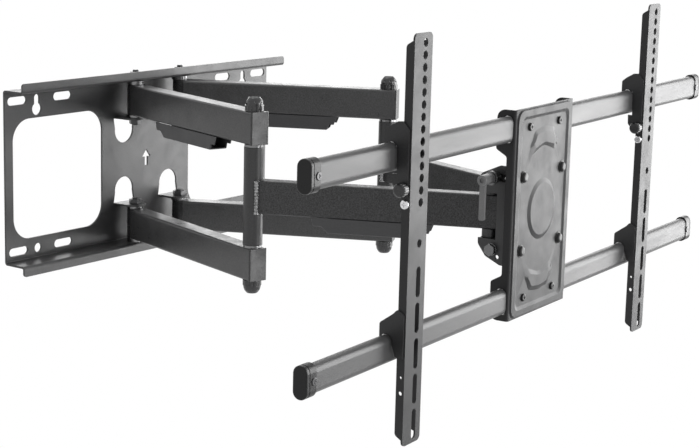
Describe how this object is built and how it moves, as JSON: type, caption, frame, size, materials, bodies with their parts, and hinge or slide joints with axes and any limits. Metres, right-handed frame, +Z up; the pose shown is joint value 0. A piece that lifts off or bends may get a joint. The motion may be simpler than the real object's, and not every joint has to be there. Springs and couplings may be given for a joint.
{
  "type": "swivel television wall mount",
  "caption": "Wall mount for a flat television: two folding arms from a slotted wall plate to a tilting head with cross bars and sliding drilled uprights.",
  "frame": {"origin": "middle of the wall plate's back face, which lies on the wall", "axes": "+Z up, +Y into the wall, +X to the right of someone who faces the wall; the arms reach out along -Y"},
  "size_m": [0.9889, 0.6415, 0.434],
  "materials": {
    "wall_powder": "dark grey fine-textured powder coat",
    "arm_powder": "dark grey fine-textured powder coat",
    "bearing_plastic": "black moulded nylon",
    "cover_plastic": "dark grey moulded plastic",
    "cap_plastic": "black moulded plastic with a slight gloss",
    "black_fastener": "black oxide fasteners",
    "bright_fastener": "zinc plated steel",
    "head_powder": "near-black powder coat",
    "plate_powder": "mid grey powder coat",
    "bar_paint": "mid grey satin paint",
    "rail_powder": "light grey powder coat",
    "hook_powder": "dark grey powder coat",
    "knob_plastic": "black moulded plastic"
  },
  "bodies": {
    "wall": {"wall_plate": "wall_powder", "left_shoulder_bolts": "black_fastener", "left_shoulder_nuts": "black_fastener", "left_shoulder_washers": "black_fastener", "right_shoulder_bolts": "black_fastener", "right_shoulder_nuts": "black_fastener", "right_shoulder_washers": "black_fastener"},
    "left_links": {"left_upper_link": "arm_powder", "left_lower_link": "arm_powder", "left_link_inserts": "arm_powder", "left_link_cover": "cover_plastic", "left_elbow_pin": "black_fastener", "left_elbow_caps": "cap_plastic", "left_elbow_washers": "bright_fastener"},
    "left_forearm": {"left_sleeve": "arm_powder", "left_sleeve_bushes": "bearing_plastic", "left_forearm": "arm_powder", "left_forearm_insert": "arm_powder", "forearm_cover": "cover_plastic"},
    "yoke": {"yoke": "head_powder", "left_head_bolt": "black_fastener", "left_head_washer": "bright_fastener", "left_head_bush": "bearing_plastic", "right_head_bolt": "black_fastener", "right_head_washer": "bright_fastener", "right_head_bush": "bearing_plastic"},
    "right_forearm": {"right_sleeve": "arm_powder", "right_sleeve_bushes": "bearing_plastic", "right_forearm": "arm_powder", "right_forearm_insert": "arm_powder"},
    "right_links": {"right_upper_link": "arm_powder", "right_lower_link": "arm_powder", "right_link_inserts": "arm_powder", "right_link_cover": "cover_plastic", "right_elbow_pins": "black_fastener", "right_elbow_caps": "cap_plastic", "right_elbow_washers": "bright_fastener"},
    "tilt_head": {"tilt_bracket": "head_powder", "tilt_bolt": "black_fastener", "tilt_nut": "black_fastener", "clamp_bolt": "black_fastener", "clamp_washer": "black_fastener", "centre_plate": "plate_powder", "dome_bolts": "black_fastener", "plate_screws": "bright_fastener", "upper_bar": "bar_paint", "lower_bar": "bar_paint", "bar_caps": "cover_plastic", "bar_cap_screws": "bright_fastener"},
    "clamp": {"clamp_lever": "knob_plastic"},
    "left_upright": {"left_rail": "rail_powder", "left_upper_hook": "hook_powder", "left_lower_hook": "hook_powder", "left_rail_screw": "bright_fastener"},
    "right_upright": {"right_rail": "rail_powder", "right_upper_hook": "hook_powder", "right_lower_hook": "hook_powder", "right_rail_screw": "bright_fastener"},
    "left_knob": {"left_knob": "knob_plastic"},
    "right_knob": {"right_knob": "knob_plastic"}
  },
  "joints": [
    {"name": "arm_fold", "type": "hinge", "parent": "wall", "child": "left_links", "pos_m": [-0.0438, -0.0234, 0], "axis": [0, 0, 1], "range_deg": [-58, 12]},
    {"name": "left_elbow_bend", "type": "hinge", "parent": "left_links", "child": "left_forearm", "pos_m": [-0.13114, -0.29973, 0], "axis": [0, 0, 1], "range_deg": [-24.5, 116.5]},
    {"name": "left_head_turn", "type": "hinge", "parent": "left_forearm", "child": "yoke", "pos_m": [-0.01064, -0.56329, 0], "axis": [0, 0, 1], "range_deg": [-54.64, 11.7]},
    {"name": "right_head_turn", "type": "hinge", "parent": "yoke", "child": "right_forearm", "pos_m": [0.07664, -0.55705, 0], "axis": [0, 0, 1], "range_deg": [-61.78, 13.18]},
    {"name": "right_link_turn", "type": "hinge", "parent": "wall", "child": "right_links", "pos_m": [0.0438, -0.0234, 0], "axis": [0, 0, 1], "range_deg": [-12.37, 57.87]},
    {"name": "tilt", "type": "hinge", "parent": "yoke", "child": "tilt_head", "pos_m": [0.03368, -0.56972, -0.043], "axis": [0.9975, 0.0713, 0], "range_deg": [-3, 8]},
    {"name": "clamp_lever_turn", "type": "hinge", "parent": "tilt_head", "child": "clamp", "pos_m": [0.03388, -0.57251, 0.0439], "axis": [0.9975, 0.0713, 0], "range_deg": [-30, 60]},
    {"name": "left_upright_slide", "type": "slide", "parent": "tilt_head", "child": "left_upright", "axis": [0.9975, 0.0713, 0], "range_m": [-0.12, 0.2]},
    {"name": "right_upright_slide", "type": "slide", "parent": "tilt_head", "child": "right_upright", "axis": [0.9975, 0.0713, 0], "range_m": [-0.17, 0.16]},
    {"name": "left_knob_turn", "type": "hinge", "parent": "left_upright", "child": "left_knob", "pos_m": [-0.29601, -0.6334, 0.0711], "axis": [0.9975, 0.0713, 0], "continuous": true},
    {"name": "right_knob_turn", "type": "hinge", "parent": "right_upright", "child": "right_knob", "pos_m": [0.29957, -0.59081, 0.0711], "axis": [0.9975, 0.0713, 0], "continuous": true}
  ],
  "couplings": [
    {"joint": "left_elbow_bend", "follows": "arm_fold", "ratio": -2},
    {"joint": "left_head_turn", "follows": "arm_fold", "ratio": 0.9335},
    {"joint": "right_head_turn", "follows": "arm_fold", "ratio": 1.0565},
    {"joint": "right_link_turn", "follows": "arm_fold", "ratio": -0.9892}
  ]
}
